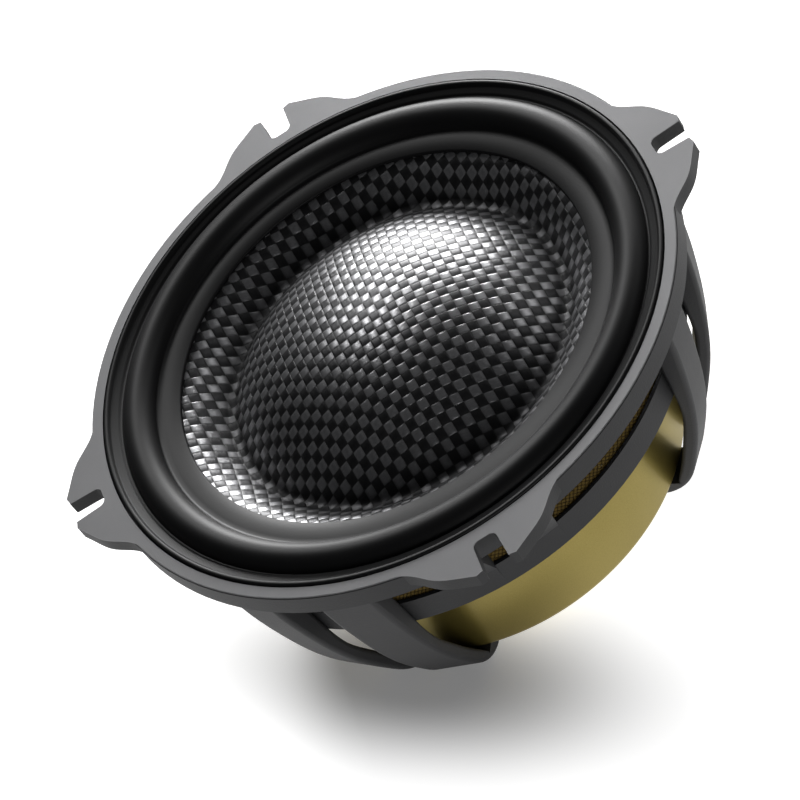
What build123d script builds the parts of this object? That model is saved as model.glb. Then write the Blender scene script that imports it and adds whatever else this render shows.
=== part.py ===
"""Five-inch car loudspeaker: cast basket with four slotted ears, woven carbon cone and dome, gold motor cup.

Millimetres, +Z up, origin under the middle of the motor's feet. The speaker fires upwards.
Depths are measured down from the flange's machined face, so a point is written as (radius, depth).
"""

from build123d import *

import os
from math import cos, radians, sin

os.makedirs("parts", exist_ok=True)

# ---------------------------------------------------------------- driving dimensions
DEPTH = 56.5  # flange face down to the underside of the feet
FLANGE_R = 65.0
FLANGE_T = 5.0
SEAT_R = 62.4  # rebate that takes the lip of the surround
SEAT_DEPTH = 1.6
THROAT_R = 59.6  # inside of the upper ring

EAR_ANGLES = [45, 135, 225, 315]
EAR_T = 3.3
EAR_TIP_R = 72.6
SLOT_END_R = 65.2
SLOT_WIDTH = 4.9
SLOT_MOUTH = 5.7

SHELF_R = 57.6  # lower ring, which carries the damper
SHELF_BORE_R = 50.0
SHELF_TOP = 17.3
SHELF_BOTTOM = 23.0
FLOOR_TOP = 30.0  # plate that the motor is screwed to
FLOOR_BOTTOM = 32.5
FLOOR_BORE_R = 31.0

LEG_WIDTHS = {269: 9.0, 287.3: 11.4, 7.5: 9.0, 27: 9.0, 138: 9.0, 158: 9.0}
LEG_ANGLES = list(LEG_WIDTHS)
TERMINAL_ANGLE = 85

SCREW_R = 1.5
HEAD_R = 2.8
HEAD_T = 1.7
SCREW_BITE = 5.0
FOOT_SCREW_R = 39.6
FLOOR_SCREW_R = 38.0
FLOOR_SCREW_ANGLES = [15, 55, 125, 195, 235, 305]

CUP_R = 45.0
CUP_T = 1.0
CUP_BOTTOM = 53.2
PLATE_R = 43.4
PLATE_T = 6.0
YOKE_T = 5.0
MAGNET_R = 42.6
MAGNET_BORE_R = 30.0
GAP_R = 26.9
POLE_R = 24.1
POLE_CAP_T = 0.5
VENT_R = 8.0
VENT_HOLE_R = 0.75
PLATE_BOTTOM = FLOOR_BOTTOM + PLATE_T
YOKE_BOTTOM = CUP_BOTTOM - CUP_T
YOKE_TOP = YOKE_BOTTOM - YOKE_T

FORMER_R = 25.0
FORMER_T = 0.15
WINDING_T = 1.1
COIL_HEIGHT = 12.0
FORMER_BOTTOM = 42.0
COLLAR_R = FORMER_R + 1.1
NECK_DEPTH = 19.6  # where the cone meets the former
DAMPER_NECK = 24.0

CONE_EDGE_R = 46.3
CONE_EDGE = 3.4
CONE_T = 0.5
LAND_R = 48.6
DOME_R = 37.4
DOME_EDGE = 10.75
DOME_TOP = -4.6  # the dome stands proud of the flange face
LIP_R = 62.1
LIP_PROUD = 0.3
ROLL_TOP = -0.9  # the roll stands this far above the flange face
ROLL_IN = 51.0
ROLL_OUT = 58.8
RUBBER_T = 0.8

BOARD_T = 1.6
BOARD_TOP = 26.0
BOARD_INNER_R = 43.0
BOARD_OUTER_R = 58.0
BOARD_WIDTH = 22.0
TAB_T = 0.8
TAB_INNER_R = 47.0
TAB_OUTER_R = 64.0
TAB_OFFSET = 6.0
TAB_WIDTHS = {"terminal_positive": 6.3, "terminal_negative": 4.8}
RIVET_R = 1.4
RIVET_AT = 54.2
LEAD_R = 0.45


# ---------------------------------------------------------------- helpers
def at(radius, depth):
    """Point in the XZ plane from a radius and a depth under the flange face."""
    return (radius, 0, DEPTH - depth)


def turned(points):
    """Solid of revolution about Z from a closed outline of (radius, depth)."""
    return revolve(make_face(Polyline(*[at(r, d) for r, d in points], close=True)), Axis.Z)


def turned_shell(points, thickness):
    """Thin turned shell whose upper skin is a smooth curve through (radius, depth) points."""
    upper = [at(r, d) for r, d in points]
    lower = [at(r, d + thickness) for r, d in points]
    outline = [Spline(*upper), Line(upper[-1], lower[-1]), Spline(*lower[::-1]), Line(lower[0], upper[0])]
    return revolve(make_face(outline), Axis.Z)


def turn(shape, angle):
    return Rot(0, 0, angle) * shape


def pillar(radius, angle, top, bottom, size):
    """Upright cylinder of the given size between two depths, at a radius and an angle."""
    height = bottom - top
    place = Pos(radius * cos(radians(angle)), radius * sin(radians(angle)), DEPTH - bottom)
    return place * Cylinder(size, height, align=(Align.CENTER, Align.CENTER, Align.MIN))


def save(name, shape):
    shape.label = name
    export_step(shape, f"parts/{name}.step")


# ---------------------------------------------------------------- basket
def ear():
    """Flat ear on the X axis: hollow flanks that rise to two rounded horns beside the slot."""
    flank = [(17.5, 64.6), (13.3, 66.0), (9.8, 69.1), (6.3, 71.1)]
    side = [(r * cos(radians(a)), r * sin(radians(a))) for a, r in flank]
    horn = [(EAR_TIP_R, 4.4), (EAR_TIP_R - 0.3, 3.2)]
    upper = side + horn
    lower = [(x, -y) for x, y in upper[::-1]]
    outline = [
        Spline(*side, horn[0]),
        Line(horn[0], horn[1]),
        Line(horn[1], lower[0]),
        Line(lower[0], lower[1]),
        Spline(*lower[1:]),
        Line(lower[-1], (55, lower[-1][1])),
        Line((55, lower[-1][1]), (55, side[0][1])),
        Line((55, side[0][1]), side[0]),
    ]
    plate = extrude(make_face(outline), EAR_T)
    return Pos(0, 0, DEPTH - EAR_T) * plate


def slot():
    """Open mounting slot on the X axis, a little wider at its mouth, with a rounded inner end."""
    half, mouth, corner = SLOT_WIDTH / 2, SLOT_MOUTH / 2, 1.5
    face = make_face(
        Polyline((SLOT_END_R, -half), (80, -mouth - 0.4), (80, mouth + 0.4), (SLOT_END_R, half), close=True)
    )
    face = fillet(face.vertices().sort_by(Axis.X)[:2], corner)
    return Pos(0, 0, DEPTH - 22) * extrude(face, 30)


def web(angle):
    """Short sloping strut from the upper ring to the shelf, beside a slot."""
    outline = [(64.9, 3.0), (64.9, 5.0), (57.6, 17.5), (57.4, 22.0), (51.0, 22.0), (51.0, 18.0), (60.0, 3.0)]
    face = make_face(Polyline(*[at(r, d) for r, d in outline], close=True))
    strut = extrude(face, 4.6, both=True, dir=(0, 1, 0))
    return turn(strut, angle)


def leg(width):
    """Bowed leg in the XZ plane: leaves the flange, stands off the motor and hooks under its cup."""
    outer = [(64.8, 4.0), (63.6, 12.0), (61.8, 20.5), (59.6, 29.0), (56.4, 38.0), (52.6, 46.0), (48.6, 52.6)]
    foot = [(43.4, DEPTH), (36.0, DEPTH), (36.0, CUP_BOTTOM), (45.5, CUP_BOTTOM)]
    inner = [(47.0, 50.4), (50.2, 44.2), (53.2, 37.6), (56.0, 30.6), (57.4, 23.0), (58.4, 14.0), (60.2, 4.0)]
    outline = [
        Spline(*[at(r, d) for r, d in outer + foot[:1]]),
        Polyline(*[at(r, d) for r, d in foot]),
        Spline(*[at(r, d) for r, d in foot[-1:] + inner]),
        Line(at(*inner[-1]), at(*outer[0])),
    ]
    blade = extrude(make_face(outline), width / 2, both=True, dir=(0, 1, 0))
    long_edges = blade.edges().filter_by(GeomType.BSPLINE)
    return fillet(long_edges, 0.9)


def basket():
    upper_ring = turned([
        (FLANGE_R, 0.3), (FLANGE_R, FLANGE_T), (THROAT_R, FLANGE_T), (THROAT_R, SEAT_DEPTH),
        (SEAT_R, SEAT_DEPTH), (SEAT_R, 0), (FLANGE_R - 0.3, 0),
    ])
    shelf = turned([
        (SHELF_R, SHELF_TOP - 0.6), (SHELF_R, SHELF_BOTTOM), (SHELF_R - 3, SHELF_BOTTOM + 1.5),
        (48.5, FLOOR_BOTTOM), (FLOOR_BORE_R, FLOOR_BOTTOM), (FLOOR_BORE_R, FLOOR_TOP), (46.5, FLOOR_TOP),
        (SHELF_BORE_R, SHELF_BOTTOM), (SHELF_BORE_R, SHELF_TOP), (SHELF_R - 0.8, SHELF_TOP),
        (SHELF_R - 0.8, SHELF_TOP - 0.6),
    ])
    body = upper_ring + shelf
    for angle in EAR_ANGLES:
        body += turn(ear(), angle)
        body += web(angle - 7.2)
        body += web(angle + 7.2)
    keep_clear = turned([
        (0, -20), (SEAT_R, -20), (SEAT_R, SEAT_DEPTH), (THROAT_R, SEAT_DEPTH), (THROAT_R, 10),
        (SHELF_R - 0.8, 12), (SHELF_R - 0.8, SHELF_TOP), (0, SHELF_TOP),
    ])
    for angle in LEG_ANGLES:
        body += turn(leg(LEG_WIDTHS[angle]), angle)
    body -= keep_clear
    for angle in EAR_ANGLES:
        body -= turn(slot(), angle)
    for angle in LEG_ANGLES:
        body -= pillar(FOOT_SCREW_R, angle, CUP_BOTTOM - 0.1, DEPTH + 0.1, SCREW_R)
        body -= pillar(FOOT_SCREW_R, angle, DEPTH - HEAD_T, DEPTH + 0.1, HEAD_R)
    for angle in FLOOR_SCREW_ANGLES:
        body -= pillar(FLOOR_SCREW_R, angle, FLOOR_TOP - 0.1, FLOOR_BOTTOM + 0.1, SCREW_R)
    body -= turn(terminal_gate(), TERMINAL_ANGLE)
    return body


# ---------------------------------------------------------------- screws
def drive(radius, angle, top, bottom):
    """Hexagon recess for the driver, in a screw head."""
    key = extrude(RegularPolygon(1.1, 6), bottom - top)
    return Pos(radius * cos(radians(angle)), radius * sin(radians(angle)), DEPTH - bottom) * key


def foot_screws():
    screws = []
    for angle in LEG_ANGLES:
        head = pillar(FOOT_SCREW_R, angle, DEPTH - HEAD_T, DEPTH - 0.2, HEAD_R - 0.05)
        shank = pillar(FOOT_SCREW_R, angle, CUP_BOTTOM - SCREW_BITE, DEPTH - HEAD_T, SCREW_R - 0.05)
        screws.append(head + shank - drive(FOOT_SCREW_R, angle, DEPTH - 1.2, DEPTH))
    return Compound(children=screws)


def floor_screws():
    screws = []
    for angle in FLOOR_SCREW_ANGLES:
        head = pillar(FLOOR_SCREW_R, angle, FLOOR_TOP - HEAD_T, FLOOR_TOP, HEAD_R)
        shank = pillar(FLOOR_SCREW_R, angle, FLOOR_TOP, FLOOR_BOTTOM + 4.0, SCREW_R - 0.05)
        screws.append(head + shank - drive(FLOOR_SCREW_R, angle, FLOOR_TOP - HEAD_T, FLOOR_TOP - 0.7))
    return Compound(children=screws)


# ---------------------------------------------------------------- terminals and leads
def slab(inner, outer, offset, width, top, bottom):
    """Box along X between two radii, centred on an offset in Y, between two depths."""
    box = Box(outer - inner, width, bottom - top, align=(Align.MIN, Align.CENTER, Align.MIN))
    return Pos(inner, offset, DEPTH - bottom) * box


def terminal_gate():
    return slab(40, 70, 0, BOARD_WIDTH + 0.2, BOARD_TOP - TAB_T - 1.6, BOARD_TOP + BOARD_T)


def tab_side(name):
    return TAB_OFFSET if name == "terminal_positive" else -TAB_OFFSET


def terminal_board():
    board = slab(BOARD_INNER_R, BOARD_OUTER_R, 0, BOARD_WIDTH, BOARD_TOP, BOARD_TOP + BOARD_T)
    board = fillet(board.edges().filter_by(Axis.Z), 1.5)
    for name in TAB_WIDTHS:
        hole = Cylinder(RIVET_R, 10)
        board -= Pos(RIVET_AT, tab_side(name), DEPTH - BOARD_TOP) * hole
    return turn(board, TERMINAL_ANGLE)


def terminal_tab(name):
    width, side = TAB_WIDTHS[name], tab_side(name)
    tab = slab(TAB_INNER_R, TAB_OUTER_R, side, width, BOARD_TOP - TAB_T, BOARD_TOP)
    tab = chamfer(tab.edges().filter_by(Axis.Z).group_by(Axis.X)[-1], 1.0)
    tab -= Pos(TAB_OUTER_R - 3.4, side, DEPTH - BOARD_TOP) * Cylinder(0.9, 10)
    tab -= Pos(RIVET_AT, side, DEPTH - BOARD_TOP) * Cylinder(RIVET_R, 10)
    return turn(tab, TERMINAL_ANGLE)


def terminal_rivets():
    rivets = []
    for name in TAB_WIDTHS:
        place = Pos(RIVET_AT, tab_side(name), DEPTH - BOARD_TOP)
        shank = place * Pos(0, 0, (TAB_T - BOARD_T) / 2) * Cylinder(RIVET_R, TAB_T + BOARD_T)
        head = place * Pos(0, 0, TAB_T + 0.4) * Cylinder(2.2, 0.8)
        foot = place * Pos(0, 0, -BOARD_T - 0.3) * Cylinder(2.2, 0.6)
        rivets.append(turn(shank + head + foot, TERMINAL_ANGLE))
    return Compound(children=rivets)


def lead(name):
    """Flexible braid from the terminal's inner end to the eyelet on the former."""
    side = tab_side(name)
    start = (TAB_INNER_R - 0.1, side, DEPTH - BOARD_TOP + LEAD_R)
    inner_x = (COLLAR_R**2 - side**2) ** 0.5 + 0.15
    path = Line(start, (inner_x, side, DEPTH - BOARD_TOP + LEAD_R + 0.4))
    braid = sweep(Plane(start, z_dir=path % 0) * Circle(LEAD_R), path)
    return turn(braid, TERMINAL_ANGLE)


# ---------------------------------------------------------------- motor
def top_plate():
    plate = turned([
        (PLATE_R, FLOOR_BOTTOM), (PLATE_R, PLATE_BOTTOM), (GAP_R, PLATE_BOTTOM), (GAP_R, FLOOR_BOTTOM),
    ])
    for angle in FLOOR_SCREW_ANGLES:
        plate -= pillar(FLOOR_SCREW_R, angle, FLOOR_BOTTOM - 0.1, FLOOR_BOTTOM + 4.1, SCREW_R)
    return plate


def magnet_ring():
    return turned([
        (MAGNET_R - 0.6, PLATE_BOTTOM), (MAGNET_R, PLATE_BOTTOM + 0.6), (MAGNET_R, YOKE_TOP - 0.6),
        (MAGNET_R - 0.6, YOKE_TOP), (MAGNET_BORE_R, YOKE_TOP), (MAGNET_BORE_R, PLATE_BOTTOM),
    ])


def pole_yoke():
    yoke = turned([
        (VENT_R + 3, FLOOR_BOTTOM), (POLE_R, FLOOR_BOTTOM), (POLE_R, YOKE_TOP), (PLATE_R, YOKE_TOP),
        (PLATE_R, YOKE_BOTTOM), (VENT_R, YOKE_BOTTOM), (VENT_R, FLOOR_BOTTOM + 4),
    ])
    for angle in LEG_ANGLES:
        yoke -= pillar(FOOT_SCREW_R, angle, CUP_BOTTOM - SCREW_BITE - 0.1, CUP_BOTTOM, SCREW_R)
    return yoke


def pole_cap():
    """Copper sleeve on the pole that flattens the coil's impedance."""
    return turned([
        (POLE_R, FLOOR_BOTTOM), (POLE_R + POLE_CAP_T, FLOOR_BOTTOM), (POLE_R + POLE_CAP_T, YOKE_TOP - 3),
        (POLE_R, YOKE_TOP - 3),
    ])


def shorting_ring():
    """Aluminium ring at the foot of the magnet gap."""
    return turned([
        (MAGNET_BORE_R, YOKE_TOP - 6), (MAGNET_BORE_R, YOKE_TOP), (FORMER_R + 3.2, YOKE_TOP),
        (FORMER_R + 3.2, YOKE_TOP - 6),
    ])


def motor_cup():
    round_r = 1.4
    bulge = round_r * (1 - cos(radians(45)))
    outline = [
        Line(at(CUP_R, FLOOR_BOTTOM), at(CUP_R, CUP_BOTTOM - round_r)),
        ThreePointArc(
            at(CUP_R, CUP_BOTTOM - round_r),
            at(CUP_R - bulge, CUP_BOTTOM - bulge),
            at(CUP_R - round_r, CUP_BOTTOM),
        ),
        Polyline(
            at(CUP_R - round_r, CUP_BOTTOM), at(VENT_R + 1, CUP_BOTTOM), at(VENT_R + 1, YOKE_BOTTOM),
            at(CUP_R - CUP_T, YOKE_BOTTOM), at(CUP_R - CUP_T, FLOOR_BOTTOM), at(CUP_R, FLOOR_BOTTOM),
        ),
    ]
    cup = revolve(make_face(outline), Axis.Z)
    for angle in LEG_ANGLES:
        cup -= pillar(FOOT_SCREW_R, angle, YOKE_BOTTOM - 0.1, CUP_BOTTOM + 0.1, SCREW_R)
    return cup


def vent_mesh():
    """Punched screen over the pole vent, in the cup's bottom."""
    screen = turned([(0, YOKE_BOTTOM), (VENT_R + 0.9, YOKE_BOTTOM), (VENT_R + 0.9, YOKE_BOTTOM + 0.6),
                     (0, YOKE_BOTTOM + 0.6)])
    holes = [Circle(VENT_HOLE_R)]
    for ring, count in ((2.4, 6), (4.8, 12)):
        holes += [turn(Pos(ring, 0, 0) * Circle(VENT_HOLE_R), 360 * i / count) for i in range(count)]
    cutter = Pos(0, 0, DEPTH - YOKE_BOTTOM - 1) * extrude(Sketch() + holes, 2)
    return screen - cutter


# ---------------------------------------------------------------- diaphragm
def cone():
    """Curved cone from the former's neck, past the dome's seat, out to a flat land under the surround."""
    profile = [
        (FORMER_R + FORMER_T, NECK_DEPTH), (29.4, 17.9), (33.4, 15.25), (36.6, 11.9),
        (40.2, 8.0), (43.6, 4.9), (CONE_EDGE_R, CONE_EDGE),
    ]
    under = CONE_EDGE + CONE_T
    land = [(CONE_EDGE_R, CONE_EDGE), (LAND_R, CONE_EDGE), (LAND_R, under), (CONE_EDGE_R, under)]
    return turned_shell(profile, CONE_T) + turned(land)


def dust_dome():
    """Spherical cap whose rim lands on the cone, halfway up it."""
    rise = DOME_EDGE - DOME_TOP
    sphere_r = (DOME_R**2 + rise**2) / (2 * rise)
    centre = Pos(0, 0, DEPTH - DOME_TOP - sphere_r)
    shell = centre * Sphere(sphere_r) - centre * Sphere(sphere_r - CONE_T)
    above = Pos(0, 0, DEPTH - DOME_EDGE) * Cylinder(60, 60, align=(Align.CENTER, Align.CENTER, Align.MIN))
    return shell & above


def coil_former():
    outer = FORMER_R + FORMER_T
    return turned([
        (outer, NECK_DEPTH), (outer, FORMER_BOTTOM), (FORMER_R, FORMER_BOTTOM), (FORMER_R, NECK_DEPTH),
    ])


def voice_coil():
    middle = FLOOR_BOTTOM + PLATE_T / 2
    inner = FORMER_R + FORMER_T
    top, bottom = middle - COIL_HEIGHT / 2, middle + COIL_HEIGHT / 2
    return turned([(inner, top), (inner + WINDING_T, top), (inner + WINDING_T, bottom), (inner, bottom)])


def former_collar():
    """Stiffening band round the former between the cone's neck and the damper's neck."""
    inner = FORMER_R + FORMER_T
    return turned([
        (inner, NECK_DEPTH + 0.9), (inner + 0.6, NECK_DEPTH + 1.3), (COLLAR_R, DAMPER_NECK - 0.3),
        (COLLAR_R, DAMPER_NECK + 3.0), (inner, DAMPER_NECK + 3.0),
    ])


def damper():
    """Corrugated cloth disc: flat rim on the shelf, rolls that fall to the former's collar."""
    rolls, amplitude, cloth = 6, 0.75, 0.35
    inner, outer, rim = COLLAR_R, SHELF_BORE_R - 0.6, SHELF_R - 1.0
    rim_depth = SHELF_TOP - cloth
    points = []
    for i in range(rolls * 4 + 1):
        share = i / (rolls * 4)
        wave = amplitude * sin(radians(360 * share * rolls)) * sin(radians(180 * share)) ** 0.5
        mean = DAMPER_NECK + (rim_depth - DAMPER_NECK) * share
        points.append((inner + (outer - inner) * share, mean + wave))
    upper = [at(r, d) for r, d in points]
    lower = [at(r, d + cloth) for r, d in points]
    outline = [
        Spline(*upper),
        Polyline(upper[-1], at(rim, rim_depth), at(rim, SHELF_TOP), lower[-1]),
        Spline(*lower[::-1]),
        Line(lower[0], upper[0]),
    ]
    return revolve(make_face(outline), Axis.Z)


def surround():
    """Half-roll rubber edge: glued band on the cone, roll, and a thick lip in the flange's rebate."""
    band_top = CONE_EDGE - RUBBER_T
    band_edge = CONE_EDGE_R - 0.6
    middle = (ROLL_IN + ROLL_OUT) / 2
    foot_in, foot_out = band_top - 0.2, 1.2
    under_in, under_out = ROLL_IN + RUBBER_T, ROLL_OUT - RUBBER_T
    outline = [
        Polyline(at(band_edge, band_top + 0.1), at(ROLL_IN - 0.6, band_top), at(ROLL_IN, foot_in)),
        ThreePointArc(at(ROLL_IN, foot_in), at(middle, ROLL_TOP), at(ROLL_OUT, foot_out)),
        Polyline(
            at(ROLL_OUT, foot_out), at(ROLL_OUT + 0.3, 0.6), at(60.8, 0.5), at(61.1, -LIP_PROUD),
            at(LIP_R, -LIP_PROUD), at(LIP_R, SEAT_DEPTH), at(THROAT_R - 0.2, SEAT_DEPTH),
            at(under_out, foot_out + 0.6),
        ),
        ThreePointArc(
            at(under_out, foot_out + 0.6), at(middle, ROLL_TOP + RUBBER_T), at(under_in, CONE_EDGE - 0.5)
        ),
        Polyline(
            at(under_in, CONE_EDGE - 0.5), at(ROLL_IN + 0.3, CONE_EDGE), at(CONE_EDGE_R + 0.2, CONE_EDGE),
            at(band_edge, band_top + 0.1),
        ),
    ]
    return revolve(make_face(outline), Axis.Z)


# ---------------------------------------------------------------- write every node
NODES = {
    "basket": basket, "surround": surround, "damper": damper, "top_plate": top_plate,
    "magnet_ring": magnet_ring, "pole_yoke": pole_yoke, "pole_cap": pole_cap, "shorting_ring": shorting_ring,
    "motor_cup": motor_cup, "vent_mesh": vent_mesh, "foot_screws": foot_screws, "floor_screws": floor_screws,
    "terminal_board": terminal_board, "terminal_rivets": terminal_rivets, "cone": cone,
    "dust_dome": dust_dome, "coil_former": coil_former, "voice_coil": voice_coil,
    "former_collar": former_collar,
}
for name, make in NODES.items():
    save(name, make())
for name in TAB_WIDTHS:
    save(name, terminal_tab(name))
    save(name.replace("terminal", "lead"), lead(name))
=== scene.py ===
from math import cos, hypot, pi, radians, sin, sqrt

import bmesh
import bpy
from mathutils import Matrix, Quaternion, Vector
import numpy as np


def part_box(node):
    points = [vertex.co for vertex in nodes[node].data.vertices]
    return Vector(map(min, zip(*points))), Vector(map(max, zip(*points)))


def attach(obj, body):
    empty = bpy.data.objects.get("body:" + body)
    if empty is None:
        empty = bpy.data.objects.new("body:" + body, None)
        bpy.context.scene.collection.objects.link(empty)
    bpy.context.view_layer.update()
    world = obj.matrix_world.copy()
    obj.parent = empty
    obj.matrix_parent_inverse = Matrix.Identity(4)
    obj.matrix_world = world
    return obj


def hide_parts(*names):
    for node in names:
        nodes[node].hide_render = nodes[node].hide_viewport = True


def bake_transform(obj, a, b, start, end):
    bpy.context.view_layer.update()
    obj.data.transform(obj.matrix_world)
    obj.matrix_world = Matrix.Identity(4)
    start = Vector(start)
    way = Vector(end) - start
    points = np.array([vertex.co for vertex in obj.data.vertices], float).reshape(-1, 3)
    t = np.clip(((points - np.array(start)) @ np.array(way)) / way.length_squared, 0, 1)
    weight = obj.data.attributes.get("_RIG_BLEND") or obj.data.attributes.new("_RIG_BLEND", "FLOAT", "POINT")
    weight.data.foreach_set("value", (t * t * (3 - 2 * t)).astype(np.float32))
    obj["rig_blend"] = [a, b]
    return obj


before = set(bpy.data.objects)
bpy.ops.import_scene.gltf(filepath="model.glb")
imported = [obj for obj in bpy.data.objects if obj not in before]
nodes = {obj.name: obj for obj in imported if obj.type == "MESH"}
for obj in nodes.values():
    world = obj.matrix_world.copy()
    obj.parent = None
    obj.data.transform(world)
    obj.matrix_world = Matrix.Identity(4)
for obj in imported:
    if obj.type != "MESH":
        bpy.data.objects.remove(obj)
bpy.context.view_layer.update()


# ---- Camera
# A long lens looks down on the speaker from its front right. The camera is rolled, so that the
# speaker seems to lean back on its motor.
MM = 0.001
face_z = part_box("basket")[1].z  # turned front face of the basket
view_azimuth, view_elevation, view_roll = radians(52.8), radians(44.1), radians(37.5)
view_distance = 724.5 * MM
aim = Vector((5.1, -10.8, -10.9)) * MM + Vector((0, 0, face_z))
to_camera = Vector((
    sin(view_azimuth) * cos(view_elevation),
    -cos(view_azimuth) * cos(view_elevation),
    sin(view_elevation),
))
camera = bpy.data.objects.new("camera", bpy.data.cameras.new("camera"))
camera.data.sensor_width = 36
camera.data.lens = 163.35
camera.location = aim + to_camera * view_distance
camera.rotation_mode = "QUATERNION"
level = to_camera.to_track_quat("Z", "Y")
camera.rotation_quaternion = level @ Quaternion((0, 0, 1), -view_roll)
bpy.context.collection.objects.link(camera)
bpy.context.scene.camera = camera
bpy.context.scene.view_settings.view_transform = "Standard"


# ---- Floor and studio light
# A sheet of pale paper, which glows evenly by its own emission, with a painted oval shadow under the front
# legs where that glow is dimmed. A broad soft box hangs low behind the speaker and smaller ones stand beside
# and before it, all aimed at the middle of the front face.
class Value:
    """One number, colour or vector in a material. A sum of two of them adds a Math node."""

    def __init__(self, tree, socket):
        self.tree, self.socket = tree, socket

    def node(self, kind, settings=None, output=0, **sockets):
        """Adds any node: its type, its settings, then the values or links of its sockets."""
        made = self.tree.nodes.new(kind)
        for name, setting in (settings or {}).items():
            if name == "stops":
                ramp = made.color_ramp.elements
                while len(ramp) < len(setting):
                    ramp.new(0.5)
                for stop, (place, colour) in zip(ramp, setting):
                    stop.position, stop.color = place, (*colour, 1)
            else:
                setattr(made, name, setting)
        for name, value in sockets.items():
            key = int(name[1:]) if name[0] == "_" else name.replace("_", " ")
            if isinstance(value, Value):
                self.tree.links.new(value.socket, made.inputs[key])
            else:
                made.inputs[key].default_value = value
        return Value(self.tree, made.outputs[output])

    def math(self, operation, first, second=0.0):
        return self.node("ShaderNodeMath", {"operation": operation}, _0=first, _1=second)

    def of(self, operation):
        """A Math node with one input: root, sine, floor."""
        return self.math(operation, self)

    def __add__(self, other):
        return self.math("ADD", self, other)

    __radd__ = __add__

    def __sub__(self, other):
        return self.math("SUBTRACT", self, other)

    def __rsub__(self, other):
        return self.math("SUBTRACT", other, self)

    def __mul__(self, other):
        return self.math("MULTIPLY", self, other)

    __rmul__ = __mul__

    def __truediv__(self, other):
        return self.math("DIVIDE", self, other)

    def hypot(self, other):
        """Length of the vector that has these two parts."""
        return (self * self + other * other).of("SQRT")

    def above(self, edge, softness):
        """0 below the edge, 1 above it, with a soft step."""
        return self.node(
            "ShaderNodeMapRange", {"interpolation_type": "SMOOTHSTEP"}, Value=self,
            From_Min=edge - softness, From_Max=edge + softness,
        )

    def noise(self, scale, detail=3.0, roughness=0.5):
        """Cloudy number round 0.5, for a vector. The scale is in lumps per metre."""
        return self.node("ShaderNodeTexNoise", Vector=self, Scale=scale, Detail=detail, Roughness=roughness)

    def mix(self, dark, light):
        """Colour between two, by this number."""
        return self.node("ShaderNodeMix", {"data_type": "RGBA"}, 2, _0=self, _6=dark, _7=light)

    def parts(self):
        """The x, y and z of a vector."""
        split = self.node("ShaderNodeSeparateXYZ", _0=self)
        return [Value(self.tree, socket) for socket in split.socket.node.outputs]


def finish(name, **constants):
    """New material: its Principled shader, and a point's place on the part."""
    material = bpy.data.materials.new(name)
    material.use_nodes = True
    shader = material.node_tree.nodes["Principled BSDF"]
    for socket, value in constants.items():
        shader.inputs[socket.replace("_", " ")].default_value = value
    place = material.node_tree.nodes.new("ShaderNodeTexCoord").outputs["Object"]
    return material, shader, Value(material.node_tree, place)


def drive(shader, socket, value):
    """Feeds one of the shader's sockets."""
    value.tree.links.new(value.socket, shader.inputs[socket])


def relief(shader, height, depth, strength=1.0):
    """Bump from a height between 0 and 1, with its depth in metres."""
    drive(shader, "Normal", height.node("ShaderNodeBump", Height=height, Distance=depth, Strength=strength))


paper, shader, place = finish("paper_painted_shadow", Roughness=0.9, Emission_Strength=1.0)
painted_shadow_y, painted_shadow_stretch = -48 * MM, 2.8  # middle of the painted oval shadow, and its length over its width
painted_shadow_r, painted_shadow_fade = 17 * MM, 12 * MM
x, y, z = place.parts()
# Mask: 0 inside the painted oval shadow and 1 outside it. It dims the paper's emission, so the shadow is
# painted, not cast.
outside_painted_shadow = (y - painted_shadow_y).hypot(x / painted_shadow_stretch).above(painted_shadow_r, painted_shadow_fade)
drive(shader, "Base Color", place.noise(6).mix((0.86, 0.86, 0.86, 1), (0.90, 0.90, 0.90, 1)))
drive(shader, "Emission Color", outside_painted_shadow.mix((0.12, 0.12, 0.12, 1), (1.0, 1.0, 1.0, 1)))
sweep = bmesh.new()
bmesh.ops.create_grid(sweep, x_segments=1, y_segments=1, size=6.0)
floor_mesh = bpy.data.meshes.new("floor")
sweep.to_mesh(floor_mesh)
floor_mesh.materials.append(paper)
floor = bpy.data.objects.new("floor", floor_mesh)
bpy.context.collection.objects.link(floor)

world = bpy.data.worlds.new("studio")
world.use_nodes = True
world.node_tree.nodes["Background"].inputs["Color"].default_value = (0.95, 0.97, 1.0, 1)
world.node_tree.nodes["Background"].inputs["Strength"].default_value = 0.025
bpy.context.scene.world = world

soft_boxes = {  # direction from the front face, distance, width, height, watts
    "back_box": ((-0.50, 0.84, 0.20), 0.9, 0.44, 0.26, 9.5),
    "side_box": ((-0.58, 0.47, 0.67), 1.1, 0.24, 0.24, 2.8),
    "left_box": ((0.36, 0.75, 0.55), 1.0, 0.24, 0.24, 0.6),
    "front_box": ((0.80, -0.62, 0.25), 1.1, 0.45, 0.35, 2.4),
}
for name, (direction, distance, width, height, watts) in soft_boxes.items():
    lamp = bpy.data.lights.new(name, "AREA")
    lamp.shape = "RECTANGLE"
    lamp.size, lamp.size_y, lamp.energy = width, height, watts
    box = bpy.data.objects.new(name, lamp)
    towards = Vector(direction).normalized()
    box.location = Vector((0, 0, face_z)) + towards * distance
    box.rotation_euler = towards.to_track_quat("Z", "Y").to_euler()
    bpy.context.collection.objects.link(box)


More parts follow.
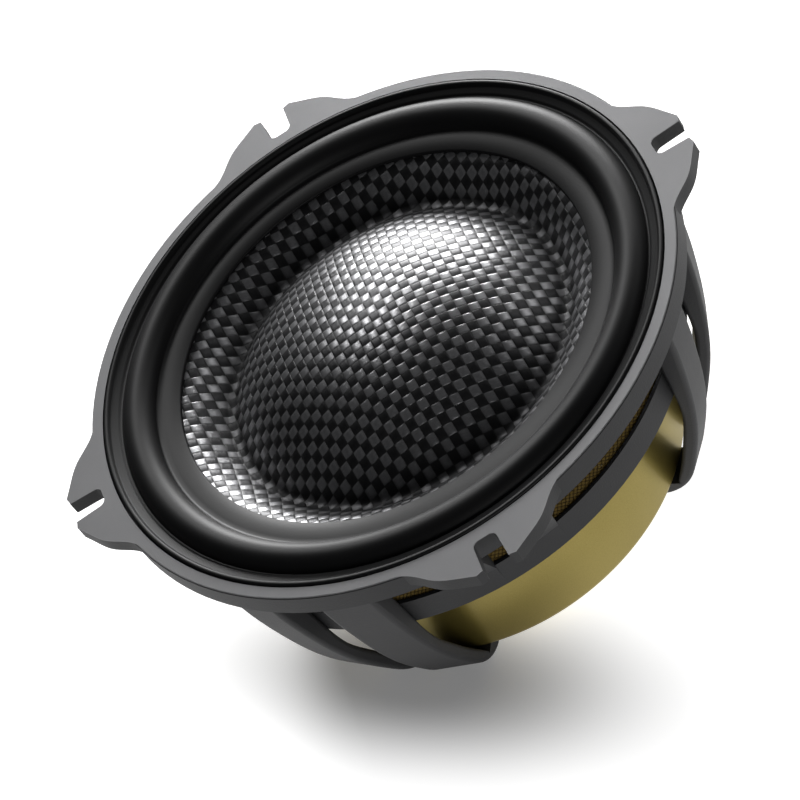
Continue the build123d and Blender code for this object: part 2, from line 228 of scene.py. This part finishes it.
# ---- Basket
# One pressure die casting: flange with four slotted ears, struts, damper shelf and six bowed legs. It is
# powder coated charcoal, then the front face is turned bright, which leaves fine rings.
cut_depth, ring_pitch = 0.16 * MM, 0.22 * MM  # how far the turning goes below the face, and its feed
cast, shader, place = finish("cast_charcoal", Specular_IOR_Level=0.3)
x, y, z = place.parts()
turned_face = z.above(face_z - cut_depth, 0.05 * MM)
grain = place.noise(2600, 4)
patch = place.noise(60, 3)
powder = patch.mix((0.013, 0.013, 0.014, 1), (0.023, 0.023, 0.024, 1))
metal = patch.mix((0.20, 0.20, 0.205, 1), (0.25, 0.25, 0.255, 1))
drive(shader, "Base Color", turned_face.mix(powder, metal))
drive(shader, "Metallic", turned_face * 0.55)
drive(shader, "Roughness", 0.58 - turned_face * 0.06 + grain * 0.06)
rings = (x.hypot(y) * (2 * pi / ring_pitch)).of("SINE") * 0.12 + 0.5
coat = grain * (1 - turned_face) + rings * turned_face
relief(shader, coat, 0.05 * MM, 0.8)


def dress(node, material):
    """Gives a CAD node its finish, through its own material slots."""
    mesh = nodes[node].data
    if not mesh.materials:
        mesh.materials.append(material)
    for index in range(len(mesh.materials)):
        mesh.materials[index] = material


dress("basket", cast)


# ---- Surround
# Half roll of satin butyl rubber. Its inner band is glued over the cone's edge and its thick lip sits in
# the flange's rebate, with a hairline gap round it. The roll flexes between cone and basket.
def arc(centre, size, start, end, count):
    """Points (radius, depth) on an arc; angles in degrees, 0 outwards and 90 up."""
    angles = [radians(start + (end - start) * i / count) for i in range(count + 1)]
    return [(centre[0] + size * cos(a), centre[1] - size * sin(a)) for a in angles]


def spun(name, outline, steps):
    """Turned piece from a closed outline: (radius, depth) in millimetres, depth down from the front face."""
    mesh = bmesh.new()
    points = [mesh.verts.new((r * MM, 0, face_z - depth * MM)) for r, depth in outline]
    edges = [mesh.edges.new(pair) for pair in zip(points, points[1:] + points[:1])]
    bmesh.ops.spin(
        mesh, geom=points + edges, cent=(0, 0, 0), axis=(0, 0, 1), dvec=(0, 0, 0), angle=2 * pi,
        steps=steps, use_merge=True, use_normal_flip=False, use_duplicate=False,
    )
    bmesh.ops.remove_doubles(mesh, verts=mesh.verts, dist=0.002 * MM)
    bmesh.ops.recalc_face_normals(mesh, faces=mesh.faces)
    return piece(name, mesh)


def piece(name, mesh):
    """Smooth-shaded object at the origin from a finished bmesh."""
    for face in mesh.faces:
        face.smooth = True
    data = bpy.data.meshes.new(name)
    mesh.to_mesh(data)
    mesh.free()
    made = bpy.data.objects.new(name, data)
    bpy.context.collection.objects.link(made)
    return made


def flex(made, outer, inner):
    """Lets a ring flex: it follows the basket outside one radius and the cone inside another.

    A blend runs along a line, so its weights are worked out again from each point's radius.
    """
    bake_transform(made, "frame", "diaphragm", start=(outer * MM, 0, face_z), end=(inner * MM, 0, face_z))
    weights = made.data.attributes["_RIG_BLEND"].data
    for vertex, weight in zip(made.data.vertices, weights):
        share = (outer - hypot(vertex.co.x, vertex.co.y) / MM) / (outer - inner)
        share = min(max(share, 0), 1)
        weight.value = share * share * (3 - 2 * share)


rubber, shader, place = finish("rubber", Specular_IOR_Level=0.25)
bloom = place.noise(45, 4)
drive(shader, "Base Color", bloom.mix((0.007, 0.007, 0.0075, 1), (0.012, 0.012, 0.0125, 1)))
drive(shader, "Roughness", 0.44 + bloom * 0.08)
relief(shader, place.noise(1800, 3), 0.02 * MM, 0.5)

roll_middle, roll_r, roll_centre, rubber_t = 54.9, 3.95, 3.05, 0.8
band = [(45.7, 3.3), (45.75, 2.85), (46.0, 2.62), (49.6, 2.6), (50.5, 2.5)]
lip = [
    (59.0, 1.05), (59.4, 0.72), (60.6, 0.62), (60.9, 0.35), (61.1, -0.12),
    (61.35, -0.28), (61.85, -0.28), (62.05, -0.1), (62.1, 0.3), (62.1, 1.58), (59.5, 1.58),
]
roll = arc((roll_middle, roll_centre), roll_r, 168, 24, 36)
roll_under = arc((roll_middle, roll_centre), roll_r - rubber_t, 30, 160, 24)
skin = band + roll + lip + roll_under + [(51.4, 3.38), (46.5, 3.38)]
surround = spun("rubber_surround", skin, steps=200)
surround.data.materials.append(rubber)
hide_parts("surround")
flex(surround, 59.0, 50.8)


# ---- Cone and dome
# Plain-weave carbon cloth in black resin, pressed into a curved cone and a full dome. The dome's rim flares
# out to meet the cone halfway up its wall, and the valley between them carries painted shade.
def woven(place, pitch, turn=pi / 4):
    """Plain weave seen from above: height of the crown, which family of tows is on top, and both runs."""
    x, y, z = place.parts()
    along = (x * cos(turn) + y * sin(turn)) / pitch
    across = (y * cos(turn) - x * sin(turn)) / pitch
    cell_a, cell_b = along.of("FLOOR"), across.of("FLOOR")
    in_a, in_b = along - cell_a - 0.5, across - cell_b - 0.5
    odd = (cell_a + cell_b).math("FLOORED_MODULO", cell_a + cell_b, 2.0)
    length = in_a * odd + in_b * (1 - odd)
    width = in_b * odd + in_a * (1 - odd)
    crown = (1 - length * length * 2.6) * (1 - (width * width * 4.0).math("POWER", width * width * 4.0, 3.0))
    return crown, odd, along, across


tow = 2.0 * MM
valley_depth, valley_fade = 9.5, 1.6
weave, shader, place = finish("carbon_weave", Specular_IOR_Level=0.6, Coat_Roughness=0.22)
crown, odd, along, across = woven(place, tow)
crown = crown.math("MAXIMUM", crown, 0.0)
# 1 above the valley and 0 in it. Below this depth the colour is darkened as painted shade; the valley is
# also rougher there and has no coat.
above_shaded_valley = place.parts()[2].above(face_z - valley_depth * MM, valley_fade * MM)
run_a = place.node("ShaderNodeCombineXYZ", X=along * 2.0, Y=across * 26.0)
run_b = place.node("ShaderNodeCombineXYZ", X=along * 26.0, Y=across * 2.0)
filament = run_a.noise(1.0, 2) * odd + run_b.noise(1.0, 2) * (1 - odd)
# One tow family is painted far darker than the other, a painted sheen for how the fibres catch the light.
# The last factor is the valley's painted shade.
shade = crown * (0.40 + filament * 0.60) * (0.12 + odd * 0.88) * (0.15 + above_shaded_valley * 0.85)
drive(shader, "Base Color", shade.mix((0.003, 0.003, 0.0035, 1), (0.62, 0.62, 0.64, 1)))
drive(shader, "Metallic", crown * 0.9)
drive(shader, "Roughness", 0.36 - odd * 0.06 + filament * 0.10 + (1 - above_shaded_valley) * 0.25)
drive(shader, "Coat Weight", above_shaded_valley * (0.12 - crown * 0.10))
relief(shader, crown * 0.85 + filament * 0.15, 0.15 * MM)


def through(points, per_span):
    """Smooth curve through (radius, depth) points."""
    curve = []
    padded = [points[0]] + points + [points[-1]]
    for a, b, c, d in zip(padded, padded[1:], padded[2:], padded[3:]):
        for i in range(per_span):
            t = i / per_span
            curve.append(tuple(
                0.5 * (2 * b[k] + (c[k] - a[k]) * t + (2 * a[k] - 5 * b[k] + 4 * c[k] - d[k]) * t * t
                       + (3 * b[k] - a[k] - 3 * c[k] + d[k]) * t**3)
                for k in (0, 1)
            ))
    return curve + [points[-1]]


cloth_t = 0.45
cone_upper = through([
    (25.3, 19.5), (29.4, 17.9), (33.4, 15.3), (36.6, 11.9), (40.2, 8.0), (43.6, 4.9), (46.4, 3.45),
], 8)
cone_upper.append((48.5, 3.45))
cone_lower = [(r, depth + cloth_t) for r, depth in reversed(cone_upper)]
cone = spun("carbon_cone", cone_upper + cone_lower, steps=200)
cone.data.materials.append(weave)
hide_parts("cone")
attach(cone, "diaphragm")

dome_top, dome_r, sphere_r = -4.6, 35.6, 53.2  # the round cap ends at dome_r, where the flare begins
flare = [(39.4, 9.05), (38.6, 9.72), (37.9, 10.05), (37.1, 10.15), (36.4, 9.85)]
cap = []
for i in range(49):
    r = dome_r * (1 - i / 48)
    cap.append((r, dome_top + sphere_r - sqrt(sphere_r**2 - r**2)))
dome_skin = through(flare + cap[:3], 3)[:-1] + cap[2:]
dome_under = [(r * 0.99, depth + 0.35) for r, depth in reversed(dome_skin)]
dome = spun("carbon_dome", dome_skin + dome_under[1:], steps=180)
dome.data.materials.append(weave)
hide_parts("dust_dome")
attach(dome, "diaphragm")


# ---- Damper
# Open cotton weave dipped in gold-brown resin and pressed into rolls. Its flat rim is glued to the basket's
# shelf and its neck to the former's collar.
thread_pitch = 0.8 * MM
cloth, shader, place = finish("damper_cloth")
crown, odd = woven(place, thread_pitch, radians(20))[:2]
stain = place.noise(90, 3)
thread = stain.mix((0.30, 0.19, 0.040, 1), (0.44, 0.30, 0.075, 1))
drive(shader, "Base Color", crown.mix((0.035, 0.022, 0.006, 1), thread))
drive(shader, "Roughness", 0.78 - odd * 0.08)
relief(shader, crown, 0.22 * MM)

rolls, roll_height, neck_r, rim_r = 6, 0.75, 26.2, 49.3
neck_depth, shelf_depth, damper_t = 24.0, 16.95, 0.33
damper_line = []
for i in range(rolls * 12 + 1):
    share = i / (rolls * 12)
    wave = roll_height * sin(2 * pi * share * rolls) * sqrt(abs(sin(pi * share)))
    depth = neck_depth + (shelf_depth - neck_depth) * share + wave
    damper_line.append((neck_r + (rim_r - neck_r) * share, depth))
damper_line += [(51.0, shelf_depth), (56.4, shelf_depth)]
damper_under = [(r, depth + damper_t) for r, depth in reversed(damper_line)]
damper = spun("woven_damper", damper_line + damper_under, steps=160)
damper.data.materials.append(cloth)
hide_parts("damper")
flex(damper, 49.5, 27.0)


# ---- Motor cup
# Drawn steel cup over the magnet, with a satin olive-gold metallic lacquer, and rolled at its bottom edge.
gold, shader, place = finish("gold_lacquer", Coat_Roughness=0.15)
flake = place.noise(5200, 2)
cloud = place.noise(35, 3)
drive(shader, "Base Color", (flake * 0.5 + cloud * 0.5).mix((0.14, 0.105, 0.014, 1), (0.36, 0.29, 0.085, 1)))
drive(shader, "Roughness", 0.36 + flake * 0.12)
drive(shader, "Metallic", 0.72 + cloud * 0.1)
drive(shader, "Coat Weight", 0.15 + cloud * 0.1)
relief(shader, flake, 0.015 * MM, 0.6)
cup_r, cup_rim, cup_bottom, hole_r = 45.0, 32.55, 53.2, 9.0
cup_line = [(cup_r - 1, cup_rim), (cup_r - 0.1, cup_rim), (cup_r, cup_rim + 0.15)]
cup_line += arc((cup_r - 1.6, cup_bottom - 1.6), 1.6, 0, -90, 8)
cup_line += [(hole_r + 0.2, cup_bottom), (hole_r, cup_bottom - 0.1), (hole_r, cup_bottom - 0.9)]
cup_line += [(cup_r - 2, cup_bottom - 1), (cup_r - 1, cup_bottom - 2)]
cup = spun("gold_cup", cup_line, steps=200)
cup.data.materials.append(gold)
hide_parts("motor_cup")
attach(cup, "frame")


# ---- Motor iron, magnet and coil
# Zinc-plated iron plates, a fired ferrite ring, a copper sleeve and a turned aluminium ring stand round the
# pole. The winding and its film former hang in the gap.
def plain(name, dark, light, rough, metallic=0.0, lumps=400, depth=0.03):
    """Finish with a little colour change, sheen change and grain."""
    material, shader, place = finish(name, Metallic=metallic)
    patch, grain = place.noise(lumps / 6, 3), place.noise(lumps * 4, 3)
    drive(shader, "Base Color", patch.mix((*dark, 1), (*light, 1)))
    drive(shader, "Roughness", rough - 0.06 + patch * 0.12)
    relief(shader, grain, depth * MM, 0.6)
    return material


zinc = plain("zinc_iron", (0.36, 0.36, 0.37), (0.50, 0.50, 0.50), 0.36, 0.9)
for node in ("top_plate", "pole_yoke"):
    dress(node, zinc)
ferrite = plain("fired_ferrite", (0.030, 0.030, 0.033), (0.055, 0.054, 0.056), 0.62, 0.0, 700, 0.06)
dress("magnet_ring", ferrite)
dress("pole_cap", plain("copper_sleeve", (0.50, 0.21, 0.11), (0.68, 0.32, 0.18), 0.30, 0.95))
dress("shorting_ring", plain("turned_aluminium", (0.55, 0.55, 0.57), (0.68, 0.68, 0.70), 0.32, 0.95))
dress("coil_former", plain("amber_film", (0.22, 0.09, 0.02), (0.30, 0.13, 0.03), 0.34))
dress("former_collar", plain("kraft_band", (0.045, 0.032, 0.022), (0.075, 0.055, 0.038), 0.75))

wire_pitch = 0.30 * MM
wire, shader, place = finish("coil_wire", Metallic=0.85)
turns = (place.parts()[2] * (2 * pi / wire_pitch)).of("SINE") * 0.5 + 0.5
drive(shader, "Base Color", turns.mix((0.20, 0.06, 0.025, 1), (0.52, 0.22, 0.11, 1)))
drive(shader, "Roughness", 0.42 - turns * 0.12)
relief(shader, turns, 0.10 * MM)
dress("voice_coil", wire)

dress("vent_mesh", plain("black_screen", (0.014, 0.014, 0.015), (0.028, 0.028, 0.030), 0.5, 0.3))


# ---- Screws
# Black zinc cap screws: six hold the feet to the motor, and six more hold the basket's floor to the top
# plate, under the damper.
black_zinc = plain("black_zinc", (0.030, 0.030, 0.032), (0.075, 0.072, 0.070), 0.36, 0.8)
for node in ("foot_screws", "floor_screws"):
    dress(node, black_zinc)


# ---- Terminals and leads
# A brown phenolic board in a gate of the basket carries two tinned brass tabs. A braid runs from each tab to
# the collar, where a blob of solder holds it.
dress("terminal_board", plain("phenolic", (0.060, 0.026, 0.012), (0.10, 0.045, 0.020), 0.52))
brass = plain("tinned_brass", (0.48, 0.44, 0.30), (0.66, 0.62, 0.46), 0.30, 0.95)
for node in ("terminal_positive", "terminal_negative", "terminal_rivets"):
    dress(node, brass)

braid, shader, place = finish("tinsel_braid", Metallic=0.85)
x, y, z = place.parts()
plait_wave = 9000  # radians of the braid's pattern per metre
plait = ((x + y) * plait_wave).of("SINE") * (y * plait_wave).of("SINE") * 0.5 + 0.5
drive(shader, "Base Color", plait.mix((0.28, 0.15, 0.07, 1), (0.66, 0.46, 0.30, 1)))
drive(shader, "Roughness", 0.46 - plait * 0.12)
relief(shader, plait, 0.08 * MM)
solder = plain("solder", (0.50, 0.50, 0.50), (0.62, 0.62, 0.61), 0.26, 0.95)
for side in ("positive", "negative"):
    node = f"lead_{side}"
    low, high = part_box(node)
    lead_copy = bmesh.new()
    lead_copy.from_mesh(nodes[node].data)
    bmesh.ops.remove_doubles(lead_copy, verts=lead_copy.verts, dist=0.001 * MM)
    lead = piece(f"braid_{side}", lead_copy)
    lead.data.materials.append(braid)
    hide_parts(node)
    flex(lead, 46.0, 27.5)
    blob = bmesh.new()
    bmesh.ops.create_icosphere(blob, subdivisions=3, radius=0.9 * MM)
    inner_end = Vector(((low.x + high.x) / 2, low.y + 0.5 * MM, high.z - 0.5 * MM))
    flatten = Matrix.Diagonal((1.3, 0.8, 0.8, 1))
    bmesh.ops.transform(blob, matrix=Matrix.Translation(inner_end) @ flatten, verts=blob.verts)
    joint = piece(f"solder_{side}", blob)
    joint.data.materials.append(solder)
    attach(joint, "diaphragm")
